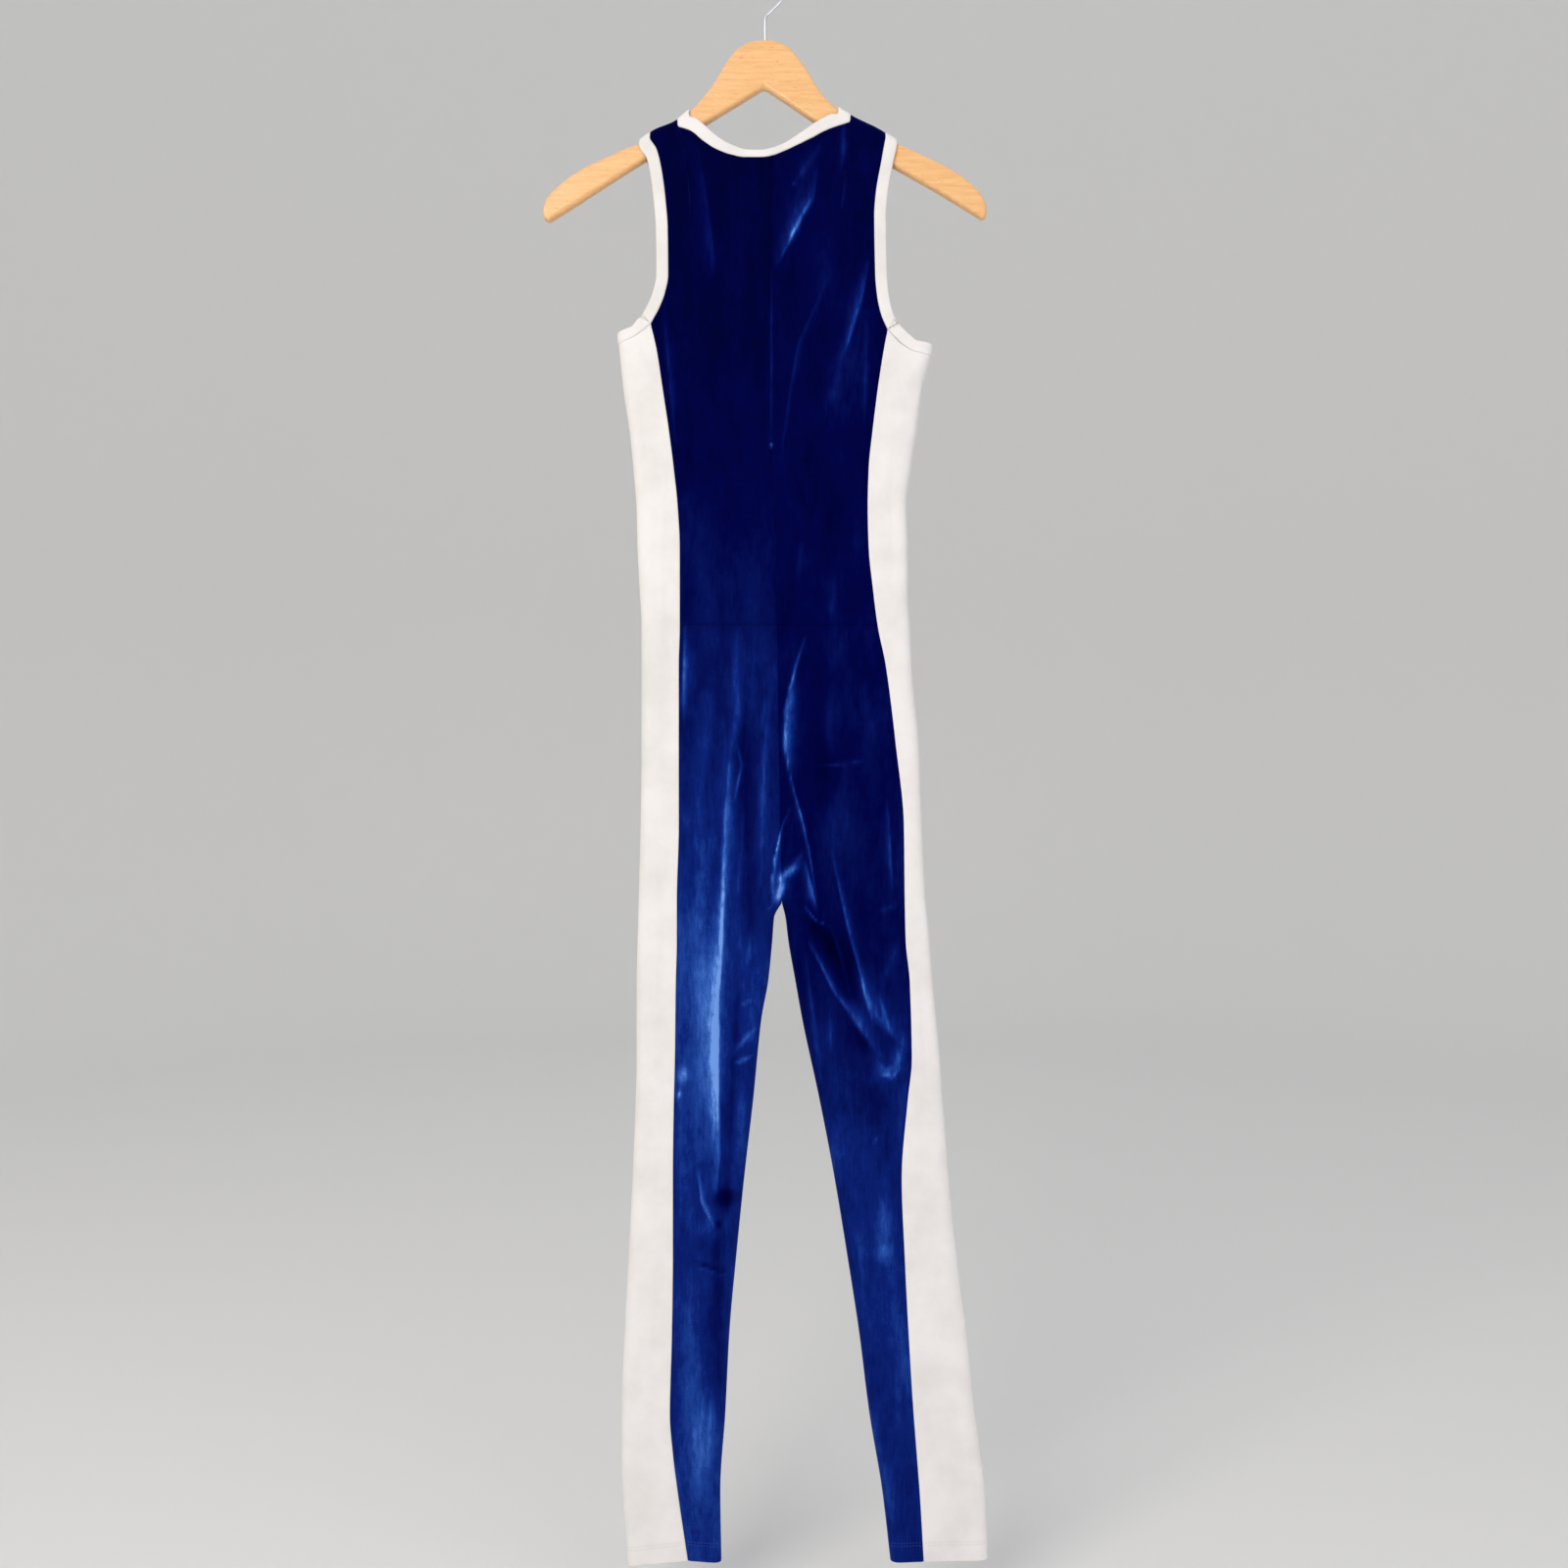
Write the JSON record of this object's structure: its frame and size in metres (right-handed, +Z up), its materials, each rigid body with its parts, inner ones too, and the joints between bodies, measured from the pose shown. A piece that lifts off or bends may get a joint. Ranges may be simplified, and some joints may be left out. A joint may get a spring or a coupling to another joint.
{
  "type": "yoga jumpsuit on a wooden hanger",
  "caption": "Sleeveless full-length stretch-velvet yoga jumpsuit with white side panels, hanging flat on a wooden clothes hanger.",
  "frame": {"origin": "inside of the hook's top, where the rail bears", "axes": "+Z up, the front of the garment faces -Y, X across its width"},
  "size_m": [0.4458, 0.0273, 1.5967],
  "materials": {
    "blue_stretch_velvet": "short crushed pile with a bright sheen",
    "white_jersey": "smooth matte knit",
    "varnished_beech": "clear satin varnish",
    "zinc_plated_wire": "bright zinc plating"
  },
  "bodies": {
    "root": {"front_bodice_left": "blue_stretch_velvet", "front_bodice_right": "blue_stretch_velvet", "back_bodice": "blue_stretch_velvet", "front_leg_left": "blue_stretch_velvet", "front_leg_right": "blue_stretch_velvet", "back_leg_left": "blue_stretch_velvet", "back_leg_right": "blue_stretch_velvet", "side_panel_left": "white_jersey", "side_panel_right": "white_jersey", "neck_band": "white_jersey", "armhole_band_left": "white_jersey", "armhole_band_right": "white_jersey", "hanger_board": "varnished_beech", "hanger_hook": "zinc_plated_wire"}
  },
  "joints": []
}
